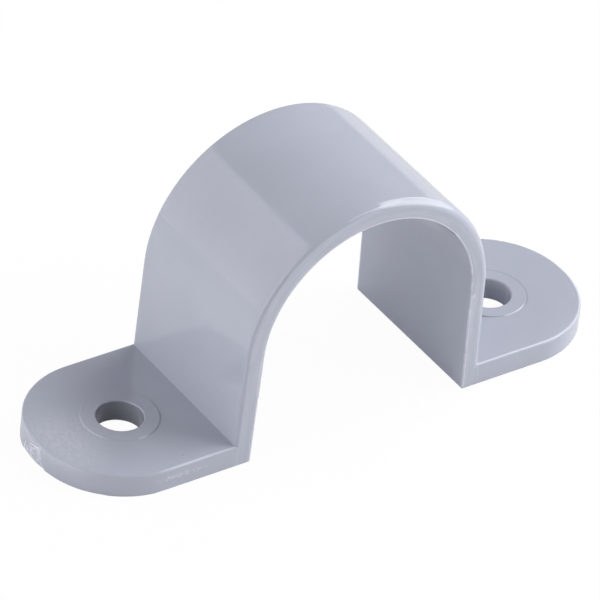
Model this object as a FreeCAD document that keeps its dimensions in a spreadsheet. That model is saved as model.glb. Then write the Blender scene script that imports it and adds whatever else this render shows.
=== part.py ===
import FreeCAD, Part
import math
import os

import Sketcher
from FreeCAD import Vector

# One moulded clip that holds a pipe down on a flat surface: a half-round band on two
# straight legs, with a flat lug and a screw hole on each side.
# Frame: Z up from the surface, X from lug to lug, Y along the pipe. The origin is on the
# surface, under the middle of the clip. Lengths are millimetres and angles are degrees.

SIZES = (
    ("seat_radius", 13.0, "inner radius of the half-round pipe seat"),
    ("seat_height", 13.05, "height of the pipe's axis over the base"),
    ("wall", 2.15, "thickness of the band and its legs"),
    ("leg_splay", 1.9, "lean of each leg from upright, outwards at its foot"),
    ("band_width", 19.9, "width of the band and the lugs, along the pipe"),
    ("lug_thickness", 2.65, "thickness of the lugs"),
    ("hole_from_leg", 7.9, "leg's outer face, at the lug's top, to the hole's axis"),
    ("tip_from_hole", 10.0, "hole's axis to the lug's tip"),
    ("tip_flat", 0.8, "straight run at the tip, between the lug's two corner arcs"),
    ("hole_diameter", 5.0, "screw hole"),
    ("ring_width", 1.75, "raised ring around the screw hole, from hole to rim"),
    ("ring_height", 0.1, "height of the ring over the lug"),
    ("ring_slope", 45.0, "lean of the ring's rim from upright"),
    ("band_round", 0.85, "rounding of the band's outer edges"),
    ("seat_round", 0.35, "rounding of the band's inner edges"),
    ("lug_round", 0.28, "rounding of the lugs' upper edges"),
    ("base_round", 0.2, "rounding of the edges on the base"),
    ("hole_top_round", 0.25, "rounding of the hole's upper rim"),
    ("hole_foot_round", 0.4, "rounding of the hole's lower rim"),
    ("gate_width", 4.7, "width of the break at the left tip, where the sprue was"),
    ("gate_depth", 0.4, "depth of that break at the base"),
    ("gate_height", 2.3, "height of that break"),
    ("gate_offset", 0.55, "middle of that break, along the pipe"),
)

# Expressions that several features share
SPLAY = "(Sizes.leg_splay * 1 deg)"
OUTER_RADIUS = "(Sizes.seat_radius + Sizes.wall)"
FOOT_RISE = "(Sizes.seat_height - Sizes.lug_thickness)"
FOOT_X = f"(({OUTER_RADIUS} + {FOOT_RISE} * sin({SPLAY})) / cos({SPLAY}))"
ROOT_X = f"(Sizes.seat_radius + Sizes.seat_height * tan({SPLAY}) + Sizes.wall / 2)"
HOLE_X = f"({FOOT_X} + Sizes.hole_from_leg)"
TIP_X = f"({HOLE_X} + Sizes.tip_from_hole)"

# Points closer than this to a face are on it
TOUCH = 0.001


def make_sheet(doc):
    sheet = doc.addObject("Spreadsheet::Sheet", "Sizes")
    for row, (alias, value, meaning) in enumerate(SIZES, start=1):
        sheet.set(f"A{row}", meaning)
        sheet.set(f"B{row}", str(value))
        sheet.setAlias(f"B{row}", alias)
    doc.recompute()
    return sheet


def leg_x(sheet, radius, height):
    """X of the right leg's face at a height, where that face runs into an arc of this radius."""
    splay = math.radians(sheet.leg_splay)
    return (radius + (sheet.seat_height - height) * math.sin(splay)) / math.cos(splay)


def find_hole_x(sheet):
    outer_radius = sheet.seat_radius + sheet.wall
    return leg_x(sheet, outer_radius, sheet.lug_thickness) + sheet.hole_from_leg


def plane(body, role):
    return next(item for item in body.Origin.OriginFeatures if item.Role == role)


def make_sketch(body, name, role):
    sketch = body.newObject("Sketcher::SketchObject", name)
    sketch.AttachmentSupport = [(plane(body, role), "")]
    sketch.MapMode = "FlatFace"
    return sketch


def add_constraints(sketch, *definitions):
    for definition in definitions:
        sketch.addConstraint(Sketcher.Constraint(*definition))


def add_dimension(sketch, name, expression, *definition):
    """Add a dimension under a name and bind it to an expression."""
    index = sketch.addConstraint(Sketcher.Constraint(*definition))
    sketch.renameConstraint(index, name)
    sketch.setExpression(f"Constraints.{name}", expression)


def line(start, end):
    return Part.LineSegment(Vector(*start, 0), Vector(*end, 0))


def arc(centre, radius, start_angle, end_angle):
    circle = Part.Circle(Vector(*centre, 0), Vector(0, 0, 1), radius)
    return Part.ArcOfCircle(circle, start_angle, end_angle)


def arch_sketch(body, sheet, name, radius, radius_expression):
    """Seen along the pipe: a half-round on two leaning legs that stand on the base."""
    sketch = make_sketch(body, name, "XZ_Plane")
    splay = math.radians(sheet.leg_splay)
    height = sheet.seat_height
    foot = leg_x(sheet, radius, 0)
    shoulder_x = radius * math.cos(splay)
    shoulder_z = height + radius * math.sin(splay)
    sketch.addGeometry(arc((0, height), radius, splay, math.pi - splay))
    sketch.addGeometry(line((shoulder_x, shoulder_z), (foot, 0)))
    sketch.addGeometry(line((foot, 0), (-foot, 0)))
    sketch.addGeometry(line((-foot, 0), (-shoulder_x, shoulder_z)))
    add_constraints(
        sketch,
        ("Tangent", 0, 1, 1, 1),
        ("Coincident", 1, 2, 2, 1),
        ("Coincident", 2, 2, 3, 1),
        ("Tangent", 3, 2, 0, 2),
        ("PointOnObject", 0, 3, -2),
        ("PointOnObject", 2, 1, -1),
        ("Symmetric", 2, 1, 2, 2, -2),
    )
    lean = splay - math.pi / 2
    add_dimension(sketch, "arch_radius", radius_expression, "Radius", 0, radius)
    add_dimension(sketch, "arch_height", "Sizes.seat_height", "DistanceY", -1, 1, 0, 3, height)
    add_dimension(sketch, "leg_lean", f"{SPLAY} - 90 deg", "Angle", 1, lean)
    return sketch


def lug_sketch(body, sheet):
    """Seen from above: the right lug, from the middle of the leg's wall to its rounded tip."""
    sketch = make_sketch(body, "lug_plan", "XY_Plane")
    side = sheet.band_width / 2
    flat = sheet.tip_flat / 2
    corner = side - flat
    root = leg_x(sheet, sheet.seat_radius, 0) + sheet.wall / 2
    tip = find_hole_x(sheet) + sheet.tip_from_hole
    sketch.addGeometry(line((root, -side), (tip - corner, -side)))
    sketch.addGeometry(arc((tip - corner, -flat), corner, -math.pi / 2, 0))
    sketch.addGeometry(line((tip, -flat), (tip, flat)))
    sketch.addGeometry(arc((tip - corner, flat), corner, 0, math.pi / 2))
    sketch.addGeometry(line((tip - corner, side), (root, side)))
    sketch.addGeometry(line((root, side), (root, -side)))
    add_constraints(
        sketch,
        ("Tangent", 0, 2, 1, 1),
        ("Tangent", 1, 2, 2, 1),
        ("Tangent", 2, 2, 3, 1),
        ("Tangent", 3, 2, 4, 1),
        ("Coincident", 4, 2, 5, 1),
        ("Coincident", 5, 2, 0, 1),
        ("Horizontal", 0),
        ("Horizontal", 4),
        ("Vertical", 5),
        ("Symmetric", 2, 1, 2, 2, -1),
        ("Equal", 1, 3),
    )
    add_dimension(sketch, "lug_width", "Sizes.band_width", "DistanceY", 0, 1, 4, 2, 2 * side)
    add_dimension(sketch, "root_x", ROOT_X, "DistanceX", -1, 1, 5, 1, root)
    add_dimension(sketch, "tip_x", TIP_X, "DistanceX", -1, 1, 2, 1, tip)
    add_dimension(sketch, "tip_flat", "Sizes.tip_flat", "DistanceY", 2, 1, 2, 2, 2 * flat)
    return sketch


def circle_sketch(body, sheet, name, diameter, diameter_expression):
    """Seen from above: a circle around the right screw hole's axis."""
    sketch = make_sketch(body, name, "XY_Plane")
    centre_x = find_hole_x(sheet)
    sketch.addGeometry(Part.Circle(Vector(centre_x, 0, 0), Vector(0, 0, 1), diameter / 2))
    add_constraints(sketch, ("PointOnObject", 0, 3, -1))
    add_dimension(sketch, "hole_x", HOLE_X, "DistanceX", -1, 1, 0, 3, centre_x)
    add_dimension(sketch, "diameter", diameter_expression, "Diameter", 0, diameter)
    return sketch


def gate_sketch(body, sheet):
    """Seen along the pipe: a wedge at the left tip, deep at the base and ending above it."""
    sketch = make_sketch(body, "gate_section", "XZ_Plane")
    tip = find_hole_x(sheet) + sheet.tip_from_hole
    depth = sheet.gate_depth
    height = sheet.gate_height
    sketch.addGeometry(line((-tip, 0), (depth - tip, 0)))
    sketch.addGeometry(line((depth - tip, 0), (-tip, height)))
    sketch.addGeometry(line((-tip, height), (-tip, 0)))
    add_constraints(
        sketch,
        ("Coincident", 0, 2, 1, 1),
        ("Coincident", 1, 2, 2, 1),
        ("Coincident", 2, 2, 0, 1),
        ("Vertical", 2),
        ("PointOnObject", 0, 1, -1),
        ("PointOnObject", 0, 2, -1),
    )
    add_dimension(sketch, "tip_x", TIP_X, "DistanceX", 0, 1, -1, 1, tip)
    add_dimension(sketch, "depth", "Sizes.gate_depth", "DistanceX", 0, 1, 0, 2, depth)
    add_dimension(sketch, "height", "Sizes.gate_height", "DistanceY", 2, 2, 2, 1, height)
    sketch.setExpression("AttachmentOffset.Base.z", "-Sizes.gate_offset")
    return sketch


def add_pad(body, name, sketch, length_expression, side_type="One side"):
    pad = body.newObject("PartDesign::Pad", name)
    pad.Profile = sketch
    pad.SideType = side_type
    pad.setExpression("Length", length_expression)
    return pad


def cut_through(body, name, sketch):
    pocket = body.newObject("PartDesign::Pocket", name)
    pocket.Profile = sketch
    pocket.SideType = "Symmetric"
    pocket.Type = "ThroughAll"
    return pocket


def round_edges(body, name, base, radius_expression, test):
    """Round those edges of the body's last feature whose middle point passes the test."""
    body.Document.recompute()
    names = []
    for number, edge in enumerate(base.Shape.Edges, start=1):
        middle = edge.valueAt((edge.FirstParameter + edge.LastParameter) / 2)
        if test(middle):
            names.append(f"Edge{number}")
    fillet = body.newObject("PartDesign::Fillet", name)
    fillet.Base = (base, names)
    fillet.setExpression("Radius", radius_expression)
    return fillet


def make_lug(doc, sheet, name, turn):
    """One lug with its raised ring and screw hole, turned about Z to its side of the clip."""
    body = doc.addObject("PartDesign::Body", name)
    top = sheet.lug_thickness
    ring_top = top + sheet.ring_height
    hole_x = find_hole_x(sheet)
    hole_radius = sheet.hole_diameter / 2
    root_x = leg_x(sheet, sheet.seat_radius, 0) + sheet.wall / 2

    def on_upper_edge(point):
        return abs(point.z - top) < TOUCH and point.x > root_x + TOUCH

    def on_hole(point, height):
        reach = math.hypot(point.x - hole_x, point.y)
        return abs(point.z - height) < TOUCH and reach < hole_radius + TOUCH

    lug = add_pad(body, "lug", lug_sketch(body, sheet), "Sizes.lug_thickness")
    round_edges(body, "lug_edges", lug, "Sizes.lug_round", on_upper_edge)

    ring_diameter = sheet.hole_diameter + 2 * sheet.ring_width
    ring_expression = "Sizes.hole_diameter + 2 * Sizes.ring_width"
    ring_plan = circle_sketch(body, sheet, "ring_plan", ring_diameter, ring_expression)
    ring_plan.setExpression("AttachmentOffset.Base.z", "Sizes.lug_thickness")
    ring = add_pad(body, "ring", ring_plan, "Sizes.ring_height")
    ring.setExpression("TaperAngle", "-Sizes.ring_slope * 1 deg")

    hole_plan = circle_sketch(body, sheet, "hole_plan", sheet.hole_diameter, "Sizes.hole_diameter")
    hole = cut_through(body, "hole", hole_plan)
    hole_top = round_edges(
        body, "hole_top", hole, "Sizes.hole_top_round", lambda point: on_hole(point, ring_top))
    round_edges(
        body, "hole_foot", hole_top, "Sizes.hole_foot_round", lambda point: on_hole(point, 0))
    body.Placement.Rotation = FreeCAD.Rotation(Vector(0, 0, 1), turn)
    return body


def make_band(body, sheet):
    """The half-round band on its legs, with rounded edges. Returns its last feature."""
    side = sheet.band_width / 2
    splay = math.radians(sheet.leg_splay)
    outer_radius = sheet.seat_radius + sheet.wall

    def on_side_edge(point, radius):
        """True on either side of the band, along the arc of this radius or a leg under it."""
        height = point.z - sheet.seat_height
        if height > abs(point.x) * math.tan(splay):
            reach = math.hypot(point.x, height)
        else:
            reach = abs(point.x) * math.cos(splay) + height * math.sin(splay)
        return abs(abs(point.y) - side) < TOUCH and abs(reach - radius) < TOUCH

    outline = arch_sketch(body, sheet, "band_section", outer_radius, OUTER_RADIUS)
    add_pad(body, "band", outline, "Sizes.band_width", "Symmetric")
    opening = arch_sketch(body, sheet, "seat_section", sheet.seat_radius, "Sizes.seat_radius")
    seat = cut_through(body, "seat", opening)
    outer_edges = round_edges(
        body, "outer_edges", seat, "Sizes.band_round",
        lambda point: on_side_edge(point, outer_radius))
    return round_edges(
        body, "inner_edges", outer_edges, "Sizes.seat_round",
        lambda point: on_side_edge(point, sheet.seat_radius))


def make_clip(doc, sheet):
    """The band, both lugs, the rounded edges on the base and the break at the left tip."""
    body = doc.addObject("PartDesign::Body", "PipeClip")
    body.Label = "pipe_clip"
    make_band(body, sheet)
    joined = body.newObject("PartDesign::Boolean", "joined")
    joined.setObjects([make_lug(doc, sheet, "right_lug", 0), make_lug(doc, sheet, "left_lug", 180)])
    joined.Type = "Fuse"

    hole_x = find_hole_x(sheet)
    hole_mouth = sheet.hole_diameter / 2 + sheet.hole_foot_round

    def on_base_outline(point):
        beside_hole = math.hypot(abs(point.x) - hole_x, point.y) > hole_mouth + TOUCH
        return abs(point.z) < TOUCH and beside_hole

    round_edges(body, "base_edges", joined, "Sizes.base_round", on_base_outline)

    gate = body.newObject("PartDesign::Pocket", "gate")
    gate.Profile = gate_sketch(body, sheet)
    gate.SideType = "Symmetric"
    gate.setExpression("Length", "Sizes.gate_width")
    doc.recompute()
    return body


def check(doc, clip):
    for item in doc.Objects:
        if "Invalid" in item.State or "Error" in item.State:
            raise RuntimeError(f"{item.Name} failed: {item.State}")
        if item.isDerivedFrom("Sketcher::SketchObject") and not item.FullyConstrained:
            raise RuntimeError(f"{item.Name} is not fully constrained")
    if clip.Shape.isNull() or not clip.Shape.isValid() or len(clip.Shape.Solids) != 1:
        raise RuntimeError(f"{clip.Label} is not one valid solid")


doc = FreeCAD.newDocument("PipeClip")
sheet = make_sheet(doc)
clip = make_clip(doc, sheet)
check(doc, clip)
print(f"{clip.Label}: {clip.Shape.Volume:.2f} cubic millimetres")
os.makedirs("parts", exist_ok=True)
clip.Shape.exportStep(f"parts/{clip.Label}.step")
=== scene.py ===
import math

import bpy
import bmesh
from mathutils import Matrix, Vector, noise


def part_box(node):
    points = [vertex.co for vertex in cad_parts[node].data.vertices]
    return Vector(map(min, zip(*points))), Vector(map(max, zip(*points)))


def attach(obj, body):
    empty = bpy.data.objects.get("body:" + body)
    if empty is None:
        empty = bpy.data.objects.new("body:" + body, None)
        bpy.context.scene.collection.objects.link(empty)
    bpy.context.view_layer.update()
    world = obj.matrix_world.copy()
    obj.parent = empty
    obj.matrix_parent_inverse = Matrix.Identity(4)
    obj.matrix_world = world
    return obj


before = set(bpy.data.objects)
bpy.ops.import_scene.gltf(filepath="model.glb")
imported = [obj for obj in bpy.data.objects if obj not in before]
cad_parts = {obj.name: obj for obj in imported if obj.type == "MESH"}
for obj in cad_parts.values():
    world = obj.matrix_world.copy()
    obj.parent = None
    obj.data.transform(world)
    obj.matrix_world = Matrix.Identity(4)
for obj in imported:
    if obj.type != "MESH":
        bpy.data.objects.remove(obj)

bl_info = {
    "name": "Pipe Clip",
    "version": (1, 0, 0),
    "blender": (4, 5, 0),
    "location": "View3D > Sidebar > Pipe Clip",
    "description": "Finishes a moulded grey PVC pipe clip and lights it in a plain studio",
    "category": "Object",
}

MM = 0.001
CLIP = "pipe_clip"
LOWEST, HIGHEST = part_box(CLIP)

# Sizes of the moulded body that the small pieces sit on
SEAT_RADIUS = 13.0 * MM
SEAT_HEIGHT = 13.05 * MM
LEG_SPLAY = math.radians(1.9)
WALL = 2.15 * MM
BAND_ROUND = 0.85 * MM
SEAT_ROUND = 0.35 * MM
BASE_ROUND = 0.2 * MM
LUG_TOP = 2.65 * MM
LEG_FOOT = 15.42 * MM
HALF_WIDTH = HIGHEST[1]
TIP = LOWEST[0]
TIP_FLAT = 0.8 * MM
LUG_CORNER = HALF_WIDTH - TIP_FLAT / 2
CORNER_X = TIP + LUG_CORNER
CORNER_Y = -TIP_FLAT / 2
HOLE_X = 23.4 * MM
CLEAR = 0.005 * MM

# Marks and painted highlights on the skin: the middle of each and its reach along X, Y and Z, in
# millimetres
FROSTED_PATCH = (-30.6, -0.6, 2.6), (5.0, 7.5, 1.5)
SCUFFED_STRIP = (-22.2, -9.95, 1.5), (4.2, 0.5, 0.45)
SCUFF_OVER_GATE = (-33.2, -0.35, 2.2), (0.6, 0.9, 0.3)
# A pale line painted along the left lug's near top edge as a highlight
LUG_EDGE_HIGHLIGHT = (-21.0, -9.8, 2.6), (5.5, 0.24, 0.2)
SPECK = (-21.08, -8.51, 2.65), (0.13, 0.13, 0.3)
# Painted highlights along the middle of the left leg's inner edge and round the right leg's notch
LEFT_LEG_EDGE_HIGHLIGHT = (-13.2, -9.9, 10.8), (0.9, 0.8, 2.9)
NOTCH_HIGHLIGHT_REACH = (0.55, 0.5, 0.6)

# Round a screw hole's axis, in millimetres: the height of its wall's middle and the reach of the
# wall, the radii of the corner at the boss's foot, and a reach that leaves the height out
HOLE_WALL = 1.3, (2.56, 2.56, 50)
BOSS_FOOT = 4.12, 4.42
UPRIGHT = 1000

# The studio round the clip
SOFTBOX_DISTANCE = 0.55
SOFTBOX_AIM = 12 * MM
ROOM_RADIUS = 1.2
ROOM_HEIGHT = 2.4
POOL_REACH = 60 * MM


# Small helpers

def linear(hex_colour):
    """Turn an sRGB hex colour into linear red, green, blue."""
    parts = [int(hex_colour[i:i + 2], 16) / 255 for i in (1, 3, 5)]
    return tuple(p / 12.92 if p <= 0.04045 else ((p + 0.055) / 1.055) ** 2.4 for p in parts)


def add_node(tree, kind, settings=None, links=None):
    """Add a node, set its properties and unlinked sockets, and link the others."""
    node = tree.nodes.new(kind)
    for name, value in (settings or {}).items():
        if isinstance(name, str) and hasattr(node, name):
            setattr(node, name, value)
        else:
            node.inputs[name].default_value = value
    for socket, source in (links or {}).items():
        tree.links.new(source, node.inputs[socket])
    return node


def new_material(name):
    """Make a node material and return it with its tree, its shader and the place in millimetres."""
    material = bpy.data.materials.new(name)
    material.use_nodes = True
    tree = material.node_tree
    shader = tree.nodes["Principled BSDF"]
    coordinates = add_node(tree, "ShaderNodeTexCoord")
    place = add_node(tree, "ShaderNodeMapping", {"Scale": (1 / MM, 1 / MM, 1 / MM)},
                     {"Vector": coordinates.outputs["Object"]}).outputs["Vector"]
    return material, tree, shader, place


def noise_field(tree, place, size, detail=2.0, stretch=(1, 1, 1)):
    """Give noise whose lumps are the given number of millimetres wide, longer where stretched."""
    scale = [1 / (size * s) for s in stretch]
    local = add_node(tree, "ShaderNodeMapping", {"Scale": scale}, {"Vector": place})
    return add_node(tree, "ShaderNodeTexNoise", {"Scale": 1.0, "Detail": detail},
                    {"Vector": local.outputs["Vector"]}).outputs["Fac"]


def ramp(tree, value, low, high, start=0.0, end=1.0):
    """Turn a value from low to high smoothly into start to end."""
    return add_node(tree, "ShaderNodeMapRange",
                    {"interpolation_type": "SMOOTHSTEP", "From Min": low, "From Max": high,
                     "To Min": start, "To Max": end}, {"Value": value}).outputs["Result"]


def calculate(tree, operation, *values):
    """Add a math node for values that are sockets or plain numbers."""
    node = add_node(tree, "ShaderNodeMath", {"operation": operation})
    for socket, value in enumerate(values):
        if isinstance(value, (int, float)):
            node.inputs[socket].default_value = value
        else:
            tree.links.new(value, node.inputs[socket])
    return node.outputs[0]


def multiply(tree, first, second):
    """Multiply two values, either of which may be a plain number."""
    return calculate(tree, "MULTIPLY", first, second)


def distance(tree, place, centre, reach):
    """Give the distance from a place on the clip, measured in its reach along each axis."""
    local = add_node(tree, "ShaderNodeMapping",
                     {"vector_type": "TEXTURE", "Location": centre, "Scale": reach},
                     {"Vector": place})
    return add_node(tree, "ShaderNodeVectorMath", {"operation": "LENGTH"},
                    {0: local.outputs["Vector"]}).outputs["Value"]


def spot(tree, place, centre, reach, edge=0.5):
    """Give a soft mask round a place on the clip, both in millimetres."""
    return ramp(tree, distance(tree, place, centre, reach), 1.0, 1.0 - edge)


def band(tree, value, low, high, soft):
    """Give a mask that is 1 between two values and soft at both ends."""
    return multiply(tree, ramp(tree, value, low - soft, low + soft),
                    ramp(tree, value, high - soft, high + soft, 1.0, 0.0))


def blend(tree, share, colour, toward):
    """Mix a colour socket or a plain colour toward a plain colour."""
    node = add_node(tree, "ShaderNodeMix", {"data_type": "RGBA", 7: (*toward, 1)}, {0: share})
    if isinstance(colour, bpy.types.NodeSocket):
        tree.links.new(colour, node.inputs[6])
    else:
        node.inputs[6].default_value = (*colour, 1)
    return node.outputs[2]


def relief(tree, height, depth, below=None):
    """Add relief of a depth over the relief below it."""
    links = {"Height": height}
    if below:
        links["Normal"] = below
    return add_node(tree, "ShaderNodeBump", {"Strength": 1.0, "Distance": depth},
                    links).outputs["Normal"]


def deselect():
    """Leave edit mode and select nothing."""
    if bpy.context.object and bpy.context.object.mode != "OBJECT":
        bpy.ops.object.mode_set(mode="OBJECT")
    bpy.ops.object.select_all(action="DESELECT")


def keep_piece(piece, name, material):
    """Name a finished piece, settle its place into its mesh and fasten it to the clip."""
    bpy.ops.object.transform_apply(location=True, rotation=True, scale=True)
    piece.name = name
    piece.data.name = name
    piece.data.materials.clear()
    piece.data.materials.append(material)
    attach(piece, "root")


# Settings

class ClipPlastic(bpy.types.PropertyGroup):
    colour: bpy.props.FloatVectorProperty(
        name="Colour", description="Colour of the moulded PVC", subtype="COLOR",
        size=3, min=0, max=1, default=linear("#adb1bf"))
    cloud_colour: bpy.props.FloatVectorProperty(
        name="Cloud Colour", description="Slightly paler grey of the clouds in the melt",
        subtype="COLOR", size=3, min=0, max=1, default=linear("#b3b6c4"))
    cloud_size: bpy.props.FloatProperty(
        name="Cloud Size", description="Width of the clouds in the melt", unit="LENGTH",
        default=7.0 * MM)
    # Also the tone of the highlights painted on the edges
    whitened: bpy.props.FloatVectorProperty(
        name="Whitened", description="Pale tone of torn or scuffed PVC", subtype="COLOR",
        size=3, min=0, max=1, default=linear("#d9dbe6"))
    roughness: bpy.props.FloatProperty(
        name="Roughness", description="Roughness of the polished mould surface",
        subtype="FACTOR", min=0, max=1, default=0.09)
    ior: bpy.props.FloatProperty(
        name="IOR", description="Refractive index of rigid PVC", min=1, max=3, default=1.54)
    sink_size: bpy.props.FloatProperty(
        name="Sink Size", description="Width of the shallow waves in the skin", unit="LENGTH",
        default=8.0 * MM)
    sink_depth: bpy.props.FloatProperty(
        name="Sink Depth", description="Depth of the shallow waves", unit="LENGTH",
        default=0.03 * MM)
    grain_depth: bpy.props.FloatProperty(
        name="Grain Depth", description="Depth of the fine mould grain", unit="LENGTH",
        default=0.0012 * MM)


class ClipMarks(bpy.types.PropertyGroup):
    gate_width: bpy.props.FloatProperty(
        name="Gate Width", description="Width of the broken gate along the lug's tip",
        unit="LENGTH", default=4.7 * MM)
    gate_height: bpy.props.FloatProperty(
        name="Gate Height", description="Height of the broken gate over the base",
        unit="LENGTH", default=2.3 * MM)
    gate_offset: bpy.props.FloatProperty(
        name="Gate Offset", description="Middle of the gate along Y", unit="LENGTH",
        default=0.55 * MM)
    gate_depth: bpy.props.FloatProperty(
        name="Gate Depth", description="Depth of the break behind the lug's tip",
        unit="LENGTH", default=0.4 * MM)
    tear_depth: bpy.props.FloatProperty(
        name="Tear Depth", description="Depth of the pits between the torn ridges",
        unit="LENGTH", default=0.2 * MM)
    burr_width: bpy.props.FloatProperty(
        name="Burr Width", description="Length of the burr at the base beside the gate",
        unit="LENGTH", default=3.4 * MM)
    burr_height: bpy.props.FloatProperty(
        name="Burr Height", description="How far the burr stands out of the lug's tip",
        unit="LENGTH", default=0.08 * MM)
    edge_round: bpy.props.FloatProperty(
        name="Edge Round", description="Rounding of the band's outer edges beside the worn lip",
        unit="LENGTH", default=0.42 * MM)
    lip_start: bpy.props.FloatProperty(
        name="Lip Start", description="Angle round the arch where the worn lip starts",
        subtype="ANGLE", default=math.radians(90.6))
    arch_flash: bpy.props.FloatProperty(
        name="Arch Flash", description="Thickness of the flash along the seat's arch",
        unit="LENGTH", default=0.24 * MM)
    leg_flash: bpy.props.FloatProperty(
        name="Leg Flash", description="Thickness of the flash down each leg's inner edge",
        unit="LENGTH", default=0.32 * MM)
    left_notch: bpy.props.FloatProperty(
        name="Left Notch", description="Height where the left leg's flash gets thicker",
        unit="LENGTH", default=8.3 * MM)
    right_notch: bpy.props.FloatProperty(
        name="Right Notch", description="Height where the right leg's flash gets thicker",
        unit="LENGTH", default=12.4 * MM)
    flash_waviness: bpy.props.FloatProperty(
        name="Flash Waviness", description="How much the flash varies in thickness",
        unit="LENGTH", default=0.012 * MM)
    frost_grain: bpy.props.FloatProperty(
        name="Frost Grain", description="Width of the frosted streaks", unit="LENGTH",
        default=0.26 * MM)


class ClipStudio(bpy.types.PropertyGroup):
    floor_size: bpy.props.FloatProperty(
        name="Floor Size", description="Side of the square floor", unit="LENGTH", default=6.0)
    floor_colour: bpy.props.FloatVectorProperty(
        name="Floor Colour", description="Colour of the matt white floor", subtype="COLOR",
        size=3, min=0, max=1, default=linear("#ececec"))
    floor_white: bpy.props.FloatProperty(
        name="Floor White", description="Share of plain white in the floor that the camera sees",
        subtype="FACTOR", min=0, max=1, default=0.96)
    floor_reflected: bpy.props.FloatProperty(
        name="Floor Reflected", description="Share of plain white in the floor's reflection",
        subtype="FACTOR", min=0, max=1, default=0.45)
    floor_left: bpy.props.FloatProperty(
        name="Floor Left", description="Brightness of that white on the side of the gate",
        min=0, default=1.24)
    floor_right: bpy.props.FloatProperty(
        name="Floor Right", description="Brightness of that white on the other side", min=0,
        default=0.26)
    fill: bpy.props.FloatProperty(
        name="Fill", description="Strength of the even light from all round", min=0, default=0.2)
    # The walls' dim light is painted in as an even glow
    room_tone: bpy.props.FloatProperty(
        name="Room Tone", description="Brightness of the dim walls round the softboxes", min=0,
        default=0.15)
    key_power: bpy.props.FloatProperty(
        name="Key Power", description="Power of the large softbox on the right, in front",
        unit="POWER", default=3.8)
    back_power: bpy.props.FloatProperty(
        name="Back Power", description="Power of the large softbox on the right, further back",
        unit="POWER", default=2.05)
    top_power: bpy.props.FloatProperty(
        name="Top Power", description="Power of the small softbox over the large ones",
        unit="POWER", default=0.75)
    side_power: bpy.props.FloatProperty(
        name="Side Power", description="Power of the large softbox on the left", unit="POWER",
        default=1.87)
    left_power: bpy.props.FloatProperty(
        name="Left Power", description="Power of the small softbox on the left, in front",
        unit="POWER", default=0.85)
    camera_azimuth: bpy.props.FloatProperty(
        name="Camera Azimuth", description="Turn of the camera round the clip, 0 along +Y",
        subtype="ANGLE", default=math.radians(-37.542))
    camera_elevation: bpy.props.FloatProperty(
        name="Camera Elevation", description="Height of the camera as an angle over the floor",
        subtype="ANGLE", default=math.radians(36.42))
    camera_roll: bpy.props.FloatProperty(
        name="Camera Roll", description="Turn of the camera on its own axis",
        subtype="ANGLE", default=math.radians(6.357))
    camera_target: bpy.props.FloatVectorProperty(
        name="Camera Target", description="Point in the middle of the picture",
        subtype="TRANSLATION", unit="LENGTH", size=3,
        default=(-2.05 * MM, -0.5 * MM, 10.77 * MM))
    camera_distance: bpy.props.FloatProperty(
        name="Camera Distance", description="Distance from the camera to its target",
        unit="LENGTH", default=650 * MM)
    camera_lens: bpy.props.FloatProperty(
        name="Camera Lens", description="Focal length on a 36 mm sensor", unit="CAMERA",
        default=373.353)


# Materials

def band_place(tree, place):
    """Give a place's parts, its height over the pipe's axis, its depth in the wall from the seat
    and its distance from the nearer face of the band, in millimetres."""
    parts = add_node(tree, "ShaderNodeSeparateXYZ", None, {0: place})
    rise = calculate(tree, "SUBTRACT", parts.outputs["Z"], SEAT_HEIGHT / MM)
    below = calculate(tree, "MINIMUM", rise, 0)
    above = calculate(tree, "MAXIMUM", rise, 0)
    across = calculate(tree, "ABSOLUTE", parts.outputs["X"])
    across = calculate(tree, "MULTIPLY_ADD", below, math.tan(LEG_SPLAY), across)
    out = add_node(tree, "ShaderNodeCombineXYZ", None, {"X": across, "Z": above})
    out = add_node(tree, "ShaderNodeVectorMath", {"operation": "LENGTH"}, {0: out.outputs[0]})
    depth = calculate(tree, "SUBTRACT", out.outputs["Value"], SEAT_RADIUS / MM)
    side = calculate(tree, "ABSOLUTE", parts.outputs["Y"])
    side = calculate(tree, "SUBTRACT", HALF_WIDTH / MM, side)
    return parts, rise, depth, side


def flow_lines(tree, place):
    """Mask faint lines that follow the arch on the band's two faces."""
    parts, rise, depth, side = band_place(tree, place)
    around = calculate(tree, "ARCTAN2", rise, parts.outputs["X"])
    flow = add_node(tree, "ShaderNodeCombineXYZ", None,
                    {"X": depth, "Y": calculate(tree, "MULTIPLY", around, 1.2)})
    lines = noise_field(tree, flow.outputs[0], 0.5, 3.0)
    on_face = multiply(tree, ramp(tree, side, 0.02, 0.1, 1.0, 0.0),
                       ramp(tree, depth, 1.9, 2.3, 1.0, 0.0))
    return multiply(tree, ramp(tree, lines, 0.4, 0.66), on_face)


def seat_edge_highlight(tree, place, marks):
    """Mask the rounding of the band's inner edges, where a pale tone is painted as a highlight,
    stronger below the right leg's notch and along the middle of the left leg."""
    parts, _, depth, side = band_place(tree, place)
    near_seat = ramp(tree, depth, 0.1, 2 * SEAT_ROUND / MM, 1.0, 0.0)
    near_face = ramp(tree, side, 0.08, 0.9 * SEAT_ROUND / MM, 1.0, 0.0)
    notch = marks.right_notch / MM
    under = ramp(tree, parts.outputs["Z"], notch - 0.15, notch + 0.15, 1.0, 0.0)
    right = multiply(tree, ramp(tree, parts.outputs["X"], -1, 1), under)
    left = spot(tree, place, *LEFT_LEG_EDGE_HIGHLIGHT, 0.3)
    share = calculate(tree, "MAXIMUM", right, left)
    share = calculate(tree, "MULTIPLY_ADD", share, 0.75, 0.25)
    return multiply(tree, multiply(tree, near_seat, near_face), share)


def frosting(tree, place, marks):
    """Mask the frosted patch between the gate and the screw boss, where the melt came in."""
    patch = spot(tree, place, *FROSTED_PATCH, 0.9)
    streaks = noise_field(tree, place, marks.frost_grain / MM, 3.0, (1.0, 2.6, 1.0))
    return multiply(tree, patch, ramp(tree, streaks, 0.36, 0.66, 0.5, 1.0))


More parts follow.
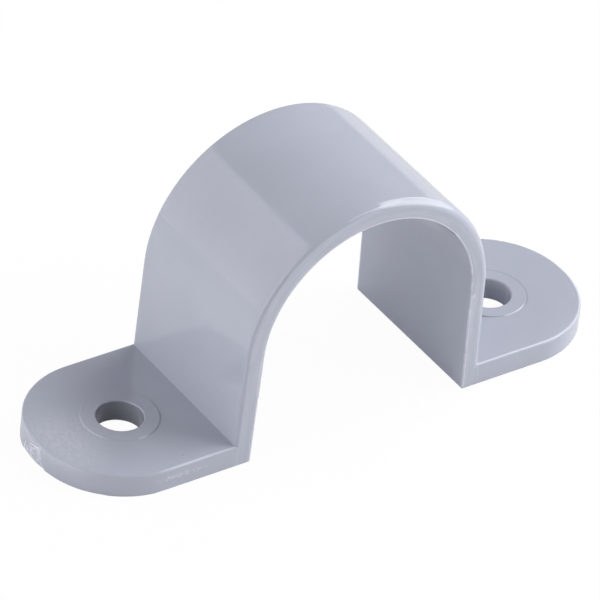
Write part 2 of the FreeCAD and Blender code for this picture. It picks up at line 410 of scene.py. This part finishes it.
def scuffs(tree, place):
    """Mask the scuffs along the near side of the left lug and over the gate."""
    grains = ramp(tree, noise_field(tree, place, 0.13, 2.0), 0.47, 0.6)
    clusters = ramp(tree, noise_field(tree, place, 0.7, 2.0), 0.38, 0.5)
    strip = spot(tree, place, *SCUFFED_STRIP, 0.6)
    over_gate = spot(tree, place, *SCUFF_OVER_GATE, 0.6)
    where = calculate(tree, "MAXIMUM", strip, over_gate)
    return multiply(tree, multiply(tree, grains, clusters), where)


def hole_wall(tree, place, side):
    """Mask the wall of the screw hole on one side."""
    height, reach = HOLE_WALL
    return spot(tree, place, (side * HOLE_X / MM, 0, height), reach, 0.02)


def dull_shaded_boss_foot(tree, place, parts):
    """Mask the corner at the foot of the right screw boss, apart from its near side."""
    from_axis = distance(tree, place, (HOLE_X / MM, 0, 0), (1, 1, UPRIGHT))
    ring = band(tree, from_axis, *BOSS_FOOT, 0.06)
    ring = multiply(tree, ring, ramp(tree, parts.outputs["Y"], -3.9, -3.2))
    return multiply(tree, ring, ramp(tree, parts.outputs["Z"], 2.4, 2.6))


def whitening_and_highlights(tree, place, marks):
    """Give how far the plastic is whitened at the gate and on the flash, and the highlights
    painted on the seat's edges and at the right leg's notch.
    """
    torn = add_node(tree, "ShaderNodeAttribute", {"attribute_name": "whitening"})
    # A pale tone painted along the rounding of the seat's inner edges as a highlight
    edge_highlight = multiply(tree, seat_edge_highlight(tree, place, marks), 0.42)
    middle = (13.3, -9.9, marks.right_notch / MM - 0.1)
    # A pale spot painted round the right leg's notch as a highlight
    notch_highlight = multiply(tree, spot(tree, place, middle, NOTCH_HIGHLIGHT_REACH, 0.9), 0.6)
    white = calculate(tree, "MAXIMUM", torn.outputs["Fac"], edge_highlight)
    return calculate(tree, "MAXIMUM", white, notch_highlight)


def moulded_pvc(plastic, marks):
    """Rigid PVC, injection moulded in a polished steel mould and broken off its runner by hand."""
    # The melt leaves faint clouds in the grey, and the skin sinks a little between the corners,
    # so that the reflections of the softboxes run slightly wavy. Handling leaves pale scuffs,
    # and where the plastic was torn or squeezed out thin, it is whitened and rough.
    # Pale tone is also painted along some edges as a highlight, and shade is painted in the screw
    # holes and at the foot of the right boss.
    material, tree, shader, place = new_material("moulded_pvc")
    shader.inputs["IOR"].default_value = plastic.ior
    parts = add_node(tree, "ShaderNodeSeparateXYZ", None, {0: place})

    clouds = ramp(tree, noise_field(tree, place, plastic.cloud_size / MM, 3.0), 0.3, 0.7)
    colour = blend(tree, multiply(tree, clouds, 0.5), plastic.colour, plastic.cloud_colour)
    frost = frosting(tree, place, marks)
    worn = scuffs(tree, place)
    # polished is a pale line painted along the left lug's near top edge as a highlight, not polish
    polished = spot(tree, place, *LUG_EDGE_HIGHLIGHT, 0.6)
    for mask, share in ((flow_lines(tree, place), 0.13), (frost, 0.4), (worn, 0.6),
                        (polished, 0.32)):
        colour = blend(tree, multiply(tree, mask, share), colour, plastic.whitened)

    # A dark speck in the melt
    speck = spot(tree, place, *SPECK, 0.5)
    colour = blend(tree, multiply(tree, speck, 0.3), colour, linear("#5d5f69"))

    # The walls of the screw holes, darkened with painted shade, the left one more than the right,
    # and a paler tone painted as light on the upper part of the right one
    for side, shaded in ((-1, 0.55), (1, 0.15)):
        wall = hole_wall(tree, place, side)
        colour = blend(tree, multiply(tree, wall, shaded), colour, linear("#555a66"))
    # Painted light: the right hole's wall is paler towards its top
    painted_light_at_top = multiply(tree, wall, ramp(tree, parts.outputs["Z"], 1.5, 2.5, 0.0, 0.45))
    colour = blend(tree, painted_light_at_top, colour, linear("#c9c3c0"))

    # Painted shade in the corner at the foot of the right screw boss, whose rim is also made less
    # glossy there
    dull_shaded_foot = dull_shaded_boss_foot(tree, place, parts)
    colour = blend(tree, multiply(tree, dull_shaded_foot, 0.3), colour, linear("#5a5a60"))
    gloss = calculate(tree, "MULTIPLY_ADD", dull_shaded_foot, -0.45, 0.5)
    tree.links.new(gloss, shader.inputs["Specular IOR Level"])

    # whitening holds real whitening on the torn gate and the flash, and painted highlights on the
    # seat's edges and at the notch
    whitening = whitening_and_highlights(tree, place, marks)
    colour = blend(tree, whitening, colour, plastic.whitened)
    tree.links.new(colour, shader.inputs["Base Color"])

    haze = noise_field(tree, place, 5.0, 2.0)
    rough = ramp(tree, haze, 0.3, 0.7, plastic.roughness - 0.02, plastic.roughness + 0.03)
    for share, amount in ((frost, 0.1), (worn, 0.3), (whitening, 0.25), (dull_shaded_foot, 0.4)):
        rough = calculate(tree, "MULTIPLY_ADD", share, amount, rough)
    tree.links.new(rough, shader.inputs["Roughness"])

    waves = noise_field(tree, place, plastic.sink_size / MM, 1.0)
    skin = relief(tree, waves, plastic.sink_depth)
    # The grain of the polished steel is finer than a picture shows, so it is drawn 0.45 mm wide
    grain = noise_field(tree, place, 0.45, 2.0)
    skin = relief(tree, grain, plastic.grain_depth, skin)
    skin = relief(tree, frost, 0.004 * MM, skin)
    skin = relief(tree, worn, 0.015 * MM, skin)
    tree.links.new(skin, shader.inputs["Normal"])
    return material


# Pieces

class PIPECLIP_OT_body(bpy.types.Operator):
    """Give the moulded body its plastic"""

    bl_idname = "pipeclip.body"
    bl_label = "Finish Body"

    def execute(self, context):
        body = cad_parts[CLIP]
        material = moulded_pvc(context.scene.pipeclip_plastic, context.scene.pipeclip_marks)
        for slot in body.material_slots:
            slot.material = material
        return {"FINISHED"}


def clip_plastic():
    """The material that the body's plastic slot holds."""
    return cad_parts[CLIP].material_slots[0].material


def seat_edge(height, inset):
    """X of the leg's inner edge at a height, moved into the wall."""
    rise = SEAT_HEIGHT - height
    return (SEAT_RADIUS + inset + rise * math.sin(LEG_SPLAY)) / math.cos(LEG_SPLAY)


def start_bead(place, along, radius):
    """Add a ring round the start of a bead and leave it selected in edit mode."""
    deselect()
    turn = Vector(along).to_track_quat("Z", "Y").to_euler()
    bpy.ops.mesh.primitive_circle_add(vertices=10, radius=radius, location=place, rotation=turn)
    bpy.ops.object.transform_apply(location=True, rotation=True, scale=True)
    bpy.ops.object.mode_set(mode="EDIT")
    bpy.ops.mesh.select_all(action="SELECT")


def narrow_ring(share):
    """Scale the selected ring about its own middle."""
    mesh = bmesh.from_edit_mesh(bpy.context.object.data)
    ring = [vertex.co for vertex in mesh.verts if vertex.select]
    middle = sum(ring, Vector()) / len(ring)
    bpy.ops.transform.resize(value=(share, share, share), center_override=middle)


def run_bead(way, steps):
    """Extrude the selected ring along a straight way in equal steps."""
    for step in range(steps):
        bpy.ops.mesh.extrude_region_move(
            TRANSFORM_OT_translate={"value": Vector(way) / steps})


def turn_bead(angle, centre, axis, steps):
    """Spin the selected ring about an axis."""
    bpy.ops.mesh.spin(steps=steps, angle=-angle, center=centre, axis=axis)


def finish_bead(name, material, waviness, whitening):
    """Close the bead's ends, make its thickness uneven and fasten it to the clip."""
    bpy.ops.mesh.select_all(action="SELECT")
    bpy.ops.mesh.remove_doubles(threshold=0.001 * MM)
    bpy.ops.mesh.fill_holes(sides=0)
    bpy.ops.mesh.normals_make_consistent(inside=False)
    bpy.ops.object.mode_set(mode="OBJECT")
    bead = bpy.context.object
    mesh = bead.data
    lump_size = 0.9 * MM
    tone = mesh.attributes.new("whitening", "FLOAT", "POINT")
    for vertex, pale in zip(mesh.vertices, tone.data):
        lump = min(max(noise.noise(vertex.co / lump_size) * 0.5 + 0.5, 0), 1)
        vertex.co -= vertex.normal * waviness * lump
        pale.value = whitening * (1.15 - 0.5 * lump)
    bpy.ops.object.shade_smooth()
    keep_piece(bead, name, material)


def finish_edge(name, material):
    """Close the ends of an outer edge, smooth it and fasten it to the clip."""
    bpy.ops.mesh.select_all(action="SELECT")
    bpy.ops.mesh.remove_doubles(threshold=0.0002 * MM)
    bpy.ops.mesh.fill_holes(sides=0)
    bpy.ops.mesh.normals_make_consistent(inside=False)
    bpy.ops.object.mode_set(mode="OBJECT")
    bpy.ops.object.shade_smooth_by_angle(angle=math.radians(30))
    keep_piece(bpy.context.object, name, material)


def start_edge(angle, side, radius):
    """Add the cross-section of a fuller outer edge at an angle round the arch."""
    skin = 0.0015 * MM
    facet_sag = 0.006 * MM
    lap = BAND_ROUND + 0.05 * MM
    heart = 0.75 * BAND_ROUND
    steps = 10
    profile = [(lap, 3 * skin)]
    for step in range(steps + 1):
        turn = math.pi / 2 * step / steps
        inward = skin + radius * (1 - math.sin(turn))
        down = skin + radius * (1 - math.cos(turn))
        profile.append((inward, down))
    profile += [(3 * skin, lap), (heart, heart)]
    deselect()
    bpy.ops.mesh.primitive_circle_add(vertices=len(profile), radius=MM)
    ring = bpy.context.object.data.vertices
    for vertex, (inward, down) in zip(ring, profile):
        reach = SEAT_RADIUS + WALL - down - facet_sag
        vertex.co = (reach * math.cos(angle), side * (HALF_WIDTH - inward),
                     SEAT_HEIGHT + reach * math.sin(angle))
    bpy.ops.object.mode_set(mode="EDIT")
    bpy.ops.mesh.select_all(action="SELECT")


def facet_angles(first, last):
    """Angles round the arch, between two others, where the body's mesh has its corners."""
    apart = 0.002
    found = set()
    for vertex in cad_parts[CLIP].data.vertices:
        x, rise = vertex.co.x, vertex.co.z - SEAT_HEIGHT
        on_arch = abs(math.hypot(x, rise) - SEAT_RADIUS - WALL) < 0.001 * MM
        if on_arch and abs(vertex.co.y) < HALF_WIDTH - BAND_ROUND / 2:
            found.add(round(math.atan2(rise, x), 5))
    return [angle for angle in sorted(found) if first + apart < angle < last - apart]


def follow_arch(first, last):
    """Turn the selected ring about the pipe's axis from one angle to another."""
    now = first
    for angle in facet_angles(first, last) + [last]:
        turn_bead(now - angle, (0, 0, SEAT_HEIGHT), (0, 1, 0), 1)
        now = angle


class PIPECLIP_OT_outer_edges(bpy.types.Operator):
    """Fill the band's outer edges to their tighter rounding, apart from the worn lip"""

    bl_idname = "pipeclip.outer_edges"
    bl_label = "Add Outer Edges"

    def execute(self, context):
        marks = context.scene.pipeclip_marks
        material = clip_plastic()
        last = math.pi - LEG_SPLAY
        shoulder = SEAT_HEIGHT + (SEAT_RADIUS + WALL) * math.sin(LEG_SPLAY)
        into_lug = 0.15 * MM
        length = (shoulder - LUG_TOP + into_lug) / math.cos(LEG_SPLAY)
        rise = Vector((-math.sin(LEG_SPLAY), 0, math.cos(LEG_SPLAY))) * length
        drop = Vector((-math.sin(LEG_SPLAY), 0, -math.cos(LEG_SPLAY))) * length

        start_edge(marks.lip_start, -1, marks.edge_round)
        follow_arch(marks.lip_start, last)
        run_bead(drop, 4)
        finish_edge("outer_edge_front", material)

        start_edge(LEG_SPLAY, 1, marks.edge_round)
        bpy.ops.transform.translate(value=-rise)
        run_bead(rise, 4)
        follow_arch(LEG_SPLAY, last)
        run_bead(drop, 4)
        finish_edge("outer_edge_back", material)

        # The fine line of flash that runs on from the blunt start of the lip
        radius = 0.055 * MM
        down, inward = 0.067 * MM, 0.232 * MM
        reach = SEAT_RADIUS + WALL - down
        y = inward - HALF_WIDTH
        first = marks.lip_start - math.radians(0.4)
        start = (reach * math.cos(first), y, SEAT_HEIGHT + reach * math.sin(first))
        middle = (0, y, SEAT_HEIGHT)
        start_bead(start, (-math.sin(first), 0, math.cos(first)), radius * 0.5)
        turn_bead(-math.radians(0.8), middle, (0, 1, 0), 2)
        narrow_ring(2)
        turn_bead(-math.radians(8), middle, (0, 1, 0), 16)
        narrow_ring(0.85)
        turn_bead(-math.radians(7), middle, (0, 1, 0), 14)
        narrow_ring(0.4)
        finish_bead("lip_flash", material, 0.008 * MM, 0.6)
        return {"FINISHED"}


class PIPECLIP_OT_seat_flash(bpy.types.Operator):
    """Add the thin flash that the mould left along the inner edges of the band"""

    bl_idname = "pipeclip.seat_flash"
    bl_label = "Add Seat Flash"

    def execute(self, context):
        marks = context.scene.pipeclip_marks
        material = clip_plastic()
        up = (-math.sin(LEG_SPLAY), 0, math.cos(LEG_SPLAY))
        for name, side in (("front", -1), ("back", 1)):
            # The thin bead over the arch, from notch to notch
            radius = marks.arch_flash / 2
            inset = radius + CLEAR
            y = side * (HALF_WIDTH - inset)
            shoulder = SEAT_HEIGHT + (SEAT_RADIUS + inset) * math.sin(LEG_SPLAY)
            right_rise = (shoulder - marks.right_notch) / up[2]
            left_rise = (shoulder - marks.left_notch) / up[2]
            start = (seat_edge(marks.right_notch, inset), y, marks.right_notch)
            start_bead(start, up, radius)
            run_bead([part * right_rise for part in up], 2)
            turn_bead(LEG_SPLAY * 2 - math.pi, (0, y, SEAT_HEIGHT), (0, 1, 0), 160)
            run_bead((up[0] * left_rise, 0, -up[2] * left_rise), 16)
            finish_bead(f"arch_flash_{name}", material, marks.flash_waviness, 0.75)

            # The thicker beads down the legs, from notch to foot
            radius = marks.leg_flash / 2
            inset = radius + CLEAR
            y = side * (HALF_WIDTH - inset)
            for leg, mirror, notch in (("right", 1, marks.right_notch),
                                       ("left", -1, marks.left_notch)):
                foot = 0.06 * MM
                start = (mirror * seat_edge(foot, inset), y, foot)
                way = Vector((mirror * up[0], 0, up[2])) * ((notch - foot) / up[2])
                start_bead(start, way, radius * 0.8)
                run_bead(way * 0.02, 1)
                narrow_ring(1.25)
                run_bead(way * 0.93, 40)
                narrow_ring(0.95)
                run_bead(way * 0.05, 4)
                narrow_ring(0.6)
                finish_bead(f"leg_flash_{name}_{leg}", material, marks.flash_waviness, 0.8)
        return {"FINISHED"}


class PIPECLIP_OT_lug_flash(bpy.types.Operator):
    """Add the flash and the parting ticks along the lugs' edges"""

    bl_idname = "pipeclip.lug_flash"
    bl_label = "Add Lug Flash"

    def execute(self, context):
        marks = context.scene.pipeclip_marks
        material = clip_plastic()

        # A thin line round the left lug's near corner, at the base
        radius = 0.06 * MM
        inset = radius + CLEAR
        reach = LUG_CORNER - inset
        first, last = math.radians(230), math.radians(262)
        start = (CORNER_X + reach * math.cos(first), CORNER_Y + reach * math.sin(first), inset)
        start_bead(start, (-math.sin(first), math.cos(first), 0), radius * 0.4)
        turn_bead(math.radians(2), (CORNER_X, CORNER_Y, inset), (0, 0, 1), 2)
        narrow_ring(2.5)
        turn_bead(last - first, (CORNER_X, CORNER_Y, inset), (0, 0, 1), 40)
        narrow_ring(0.4)
        finish_bead("base_flash", material, 0.02 * MM, 0.5)

        # A low swelling at the foot of the left leg
        radius = 0.12 * MM
        start_bead((-LEG_FOOT, -9.0 * MM, LUG_TOP), (0, 1, 0), radius * 0.3)
        run_bead((0, 0.8 * MM, 0), 4)
        narrow_ring(3.3)
        run_bead((0, 4.2 * MM, 0), 24)
        narrow_ring(0.9)
        run_bead((0, 0.7 * MM, 0), 4)
        narrow_ring(0.3)
        finish_bead("foot_swelling", material, 0.05 * MM, 0.0)

        # Ticks where the mould's halves met on the right lug
        tick = 0.05 * MM
        front = -HALF_WIDTH + tick + CLEAR
        lower_x, upper_x = 21.47 * MM, 20.9 * MM
        start_bead((lower_x, front, 0.02 * MM), (0, 0, 1), tick)
        run_bead((0, 0, 0.16 * MM), 4)
        narrow_ring(0.4)
        finish_bead("lower_tick", material, 0.01 * MM, 0.9)
        start_bead((upper_x, front + 0.02 * MM, LUG_TOP - 0.07 * MM), (1, 0, 0), tick)
        run_bead((0.3 * MM, 0, 0), 4)
        narrow_ring(0.4)
        finish_bead("upper_tick", material, 0.01 * MM, 0.6)
        return {"FINISHED"}


def fade(value, low, high):
    """Go smoothly from 0 at low to 1 at high."""
    share = min(max((value - low) / (high - low), 0), 1)
    return share * share * (3 - 2 * share)


def tear_edge(y, z):
    """How far a place on the lug's tip lies inside the tear's ragged outline."""
    ragged = 0.1 * MM * noise.noise(Vector((7, y, z)) / (0.3 * MM))
    top = 2.2 * MM - 0.33 * y - z
    far = 2.94 * MM - 0.15 * z - y
    near = y + 1.86 * MM - 0.75 * math.sqrt(z * 2 * MM)
    return min(top, far, near) + ragged


def tear_ridge(y, z):
    """Height of the torn ridges at a place on the lug's tip, from 0 to 1."""
    inside = tear_edge(y, z)
    grain = Vector((3, y * 0.8 + z * 0.6, z - y * 0.3)) / (0.5 * MM)
    ridge = min(max(noise.ridged_multi_fractal(grain, 0.9, 2.1, 4, 1.0, 2.0) / 2.4, 0), 1)
    border = fade(inside, 0, 0.04 * MM) * (1 - fade(inside, 0.16 * MM, 0.34 * MM))
    return max(ridge * fade(inside, 0, 0.1 * MM), border * (0.7 + 0.3 * ridge))


def round_tip(y):
    """X of the lug's tip at a place along it."""
    past_flat = max(abs(y) - TIP_FLAT / 2, 0)
    return TIP + LUG_CORNER - math.sqrt(LUG_CORNER ** 2 - past_flat ** 2)


def torn_place(marks, y, z, last):
    """How far the torn plastic lies behind the tip at a place, and how white it is."""
    under = max(BASE_ROUND - z, 0)
    rounding = BASE_ROUND - math.sqrt(BASE_ROUND ** 2 - under ** 2)
    torn = fade(tear_edge(y, z), -0.03 * MM, 0.06 * MM)
    ridge = tear_ridge(y, z)
    near = fade(-y, -0.3 * MM, 1.5 * MM)
    free = 0.3 + 0.7 * fade(z, 0, 0.35 * MM)
    depth = marks.tear_depth * (0.15 + 0.75 * near + 0.7 * (1 - ridge) * free)
    pocket = marks.gate_depth * (1 - z / marks.gate_height)
    depth = min(depth, 0.85 * pocket)
    burr = fade(y, 1.2 * MM, 3.4 * MM) * (1 - fade(y, last - 1.6 * MM, last))
    burr *= 1 - fade(z, 0.6 * MM, 2 * MM)
    filled = rounding * (1 - max(0.8 * torn, burr))
    white = torn * (0.1 + 0.95 * fade(ridge, 0.35, 0.85))
    return filled + depth * torn - marks.burr_height * burr, white


class PIPECLIP_OT_gate(bpy.types.Operator):
    """Model the torn stub at the tip, where the clip was broken off its runner"""

    bl_idname = "pipeclip.gate"
    bl_label = "Model Gate"

    def execute(self, context):
        marks = context.scene.pipeclip_marks
        thickness = 0.6 * MM
        lap = 0.06 * MM
        low, high = CLEAR, marks.gate_height + lap
        first = marks.gate_offset - marks.gate_width / 2 - lap
        last = marks.gate_offset + marks.gate_width / 2 + marks.burr_width
        deselect()
        bpy.ops.mesh.primitive_grid_add(
            x_subdivisions=60, y_subdivisions=150, size=1,
            location=(TIP, (first + last) / 2, (low + high) / 2), rotation=(0, -math.pi / 2, 0))
        stub = context.object
        stub.scale = (high - low, last - first, 1)
        bpy.ops.object.transform_apply(location=True, rotation=True, scale=True)
        bpy.ops.object.mode_set(mode="EDIT")
        bpy.ops.mesh.select_all(action="SELECT")
        bpy.ops.mesh.extrude_region_move(
            TRANSFORM_OT_translate={"value": (thickness, 0, 0)})
        bpy.ops.mesh.select_all(action="SELECT")
        bpy.ops.mesh.normals_make_consistent(inside=False)
        bpy.ops.object.mode_set(mode="OBJECT")
        mesh = stub.data
        tone = mesh.attributes.new("whitening", "FLOAT", "POINT")
        for vertex, pale in zip(mesh.vertices, tone.data):
            y, z = vertex.co.y, vertex.co.z
            if vertex.co.x > TIP + thickness / 2:
                vertex.co.x = round_tip(y) + thickness
                continue
            border = min(y - first, last - y, high - z)
            sunk = 0.02 * MM * (1 - fade(border, 0.3 * lap, 1.3 * lap))
            behind, pale.value = torn_place(marks, y, z, last)
            vertex.co.x = round_tip(y) + behind + sunk
        bpy.ops.object.shade_smooth()
        keep_piece(stub, "gate_stub", clip_plastic())
        return {"FINISHED"}


# Studio

def background_rays(tree, seen, reflected):
    """Give the share of plain white for the rays that see the background or reflect it."""
    rays = add_node(tree, "ShaderNodeLightPath")
    other = calculate(tree, "MAXIMUM", rays.outputs["Is Glossy Ray"],
                      rays.outputs["Is Transmission Ray"])
    mirrored = multiply(tree, other, reflected)
    return calculate(tree, "MULTIPLY_ADD", rays.outputs["Is Camera Ray"], seen, mirrored)


def floor_paper(studio):
    """Matt white paper that the camera sees as white apart from the shadow."""
    material, tree, shader, place = new_material("floor_paper")
    shader.inputs["Base Color"].default_value = (*studio.floor_colour, 1)
    shader.inputs["Roughness"].default_value = 1
    shader.inputs["Specular IOR Level"].default_value = 0
    # In reflections the paper gets a painted pool of light, brighter on the left, where the nearest
    # softbox lights it
    across = add_node(tree, "ShaderNodeSeparateXYZ", None, {0: place})
    painted_pool = add_node(tree, "ShaderNodeMapRange",
                    {"From Min": -POOL_REACH / MM, "From Max": POOL_REACH / MM,
                     "To Min": studio.floor_left, "To Max": studio.floor_right},
                    {"Value": across.outputs["X"]})
    rays = add_node(tree, "ShaderNodeLightPath")
    strength = add_node(tree, "ShaderNodeMix", {"data_type": "FLOAT", 3: 1.0},
                        {0: rays.outputs["Is Camera Ray"], 2: painted_pool.outputs["Result"]})
    white = add_node(tree, "ShaderNodeEmission", {"Color": (1, 1, 1, 1)},
                     {"Strength": strength.outputs[0]})
    share = background_rays(tree, studio.floor_white, studio.floor_reflected)
    mix = add_node(tree, "ShaderNodeMixShader", None,
                   {0: share, 1: shader.outputs[0], 2: white.outputs[0]})
    tree.links.new(mix.outputs[0], tree.nodes["Material Output"].inputs["Surface"])
    return material


def studio_world(studio):
    """Plain white where it is seen or reflected, and an even soft fill as light."""
    world = bpy.data.worlds.new("studio")
    world.use_nodes = True
    tree = world.node_tree
    background = tree.nodes["Background"]
    background.inputs["Color"].default_value = (1, 1, 1, 1)
    strength = add_node(tree, "ShaderNodeMapRange", {"To Min": studio.fill, "To Max": 1.0},
                        {"Value": background_rays(tree, 1.0, 1.0)})
    tree.links.new(strength.outputs[0], background.inputs["Strength"])
    return world


def glowing_wall(studio):
    """Grey studio wall that glows evenly: its dim light is painted in as emission."""
    material, _, shader, _ = new_material("glowing_wall")
    shader.inputs["Base Color"].default_value = (*linear("#3c3c3c"), 1)
    shader.inputs["Roughness"].default_value = 1
    shader.inputs["Specular IOR Level"].default_value = 0
    shader.inputs["Emission Color"].default_value = (1, 1, 1, 1)
    shader.inputs["Emission Strength"].default_value = studio.room_tone
    return material


def add_softbox(context, name, azimuth, elevation, size, power, slide=0.0):
    """Hang a rectangular softbox in a direction from the clip, slid sideways in its plane."""
    lamp = bpy.data.lights.new(name, "AREA")
    lamp.shape = "RECTANGLE"
    lamp.size, lamp.size_y = size
    lamp.energy = power
    softbox = bpy.data.objects.new(name, lamp)
    context.collection.objects.link(softbox)
    turn = Matrix.Rotation(math.radians(azimuth + 90), 4, "Z")
    tilt = Matrix.Rotation(math.radians(90 - elevation), 4, "X")
    out = Matrix.Translation((slide, 0, SOFTBOX_DISTANCE))
    softbox.matrix_world = Matrix.Translation((0, 0, SOFTBOX_AIM)) @ turn @ tilt @ out
    softbox.visible_camera = False


class PIPECLIP_OT_stage(bpy.types.Operator):
    """Set up the floor, the softboxes, the background and the camera"""

    bl_idname = "pipeclip.stage"
    bl_label = "Build Studio"

    def execute(self, context):
        studio = context.scene.pipeclip_studio
        deselect()
        bpy.ops.mesh.primitive_plane_add(size=studio.floor_size, location=(0, 0, -0.01 * MM))
        floor = context.object
        floor.name = "floor"
        bpy.ops.object.transform_apply(location=True, rotation=True, scale=True)
        floor.data.materials.append(floor_paper(studio))
        deselect()
        below_floor = 0.05
        bpy.ops.mesh.primitive_cylinder_add(
            vertices=64, radius=ROOM_RADIUS, depth=ROOM_HEIGHT,
            location=(0, 0, ROOM_HEIGHT / 2 - below_floor))
        room = context.object
        room.name = "room"
        bpy.ops.object.transform_apply(location=True, rotation=True, scale=True)
        room.data.materials.append(glowing_wall(studio))
        room.visible_camera = False
        context.scene.world = studio_world(studio)
        add_softbox(context, "key_softbox", -7, 30, (0.5, 0.6), studio.key_power, -0.25)
        add_softbox(context, "back_softbox", -7, 30, (0.5, 0.6), studio.back_power, 0.25)
        add_softbox(context, "top_softbox", -6, 55, (0.52, 0.24), studio.top_power)
        add_softbox(context, "side_softbox", 149, 22, (0.84, 0.54), studio.side_power)
        add_softbox(context, "left_softbox", -172, 25, (0.46, 0.44), studio.left_power)

        camera_data = bpy.data.cameras.new("camera")
        camera = bpy.data.objects.new("camera", camera_data)
        context.collection.objects.link(camera)
        camera_data.sensor_width = 36
        camera_data.lens = studio.camera_lens
        camera_data.clip_end = 20
        turn = Matrix.Rotation(studio.camera_azimuth, 4, "Z")
        tilt = Matrix.Rotation(math.pi / 2 - studio.camera_elevation, 4, "X")
        roll = Matrix.Rotation(studio.camera_roll, 4, "Z")
        back = Matrix.Translation((0, 0, studio.camera_distance))
        camera.matrix_world = (
            Matrix.Translation(studio.camera_target) @ turn @ tilt @ back @ roll)
        context.scene.camera = camera
        context.scene.view_settings.view_transform = "Standard"
        return {"FINISHED"}


class PIPECLIP_PT_panel(bpy.types.Panel):
    """The settings and the steps of the pipe clip"""

    bl_idname = "PIPECLIP_PT_panel"
    bl_label = "Pipe Clip"
    bl_space_type = "VIEW_3D"
    bl_region_type = "UI"
    bl_category = "Pipe Clip"

    def draw(self, context):
        for group in ("pipeclip_plastic", "pipeclip_marks", "pipeclip_studio"):
            settings = getattr(context.scene, group)
            box = self.layout.box()
            for name in type(settings).__annotations__:
                box.prop(settings, name)
        for step in OPERATORS:
            self.layout.operator(step.bl_idname)


def main():
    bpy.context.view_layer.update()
    register()
    bpy.ops.pipeclip.body()
    bpy.ops.pipeclip.gate()
    bpy.ops.pipeclip.outer_edges()
    bpy.ops.pipeclip.seat_flash()
    bpy.ops.pipeclip.lug_flash()
    bpy.ops.pipeclip.stage()


OPERATORS = (PIPECLIP_OT_body, PIPECLIP_OT_gate, PIPECLIP_OT_outer_edges, PIPECLIP_OT_seat_flash,
             PIPECLIP_OT_lug_flash, PIPECLIP_OT_stage)
CLASSES = (ClipPlastic, ClipMarks, ClipStudio, *OPERATORS, PIPECLIP_PT_panel)


def register():
    for cls in CLASSES:
        bpy.utils.register_class(cls)
    bpy.types.Scene.pipeclip_plastic = bpy.props.PointerProperty(type=ClipPlastic)
    bpy.types.Scene.pipeclip_marks = bpy.props.PointerProperty(type=ClipMarks)
    bpy.types.Scene.pipeclip_studio = bpy.props.PointerProperty(type=ClipStudio)


def unregister():
    del bpy.types.Scene.pipeclip_studio
    del bpy.types.Scene.pipeclip_marks
    del bpy.types.Scene.pipeclip_plastic
    for cls in reversed(CLASSES):
        bpy.utils.unregister_class(cls)


if __name__ == "__main__":
    main()
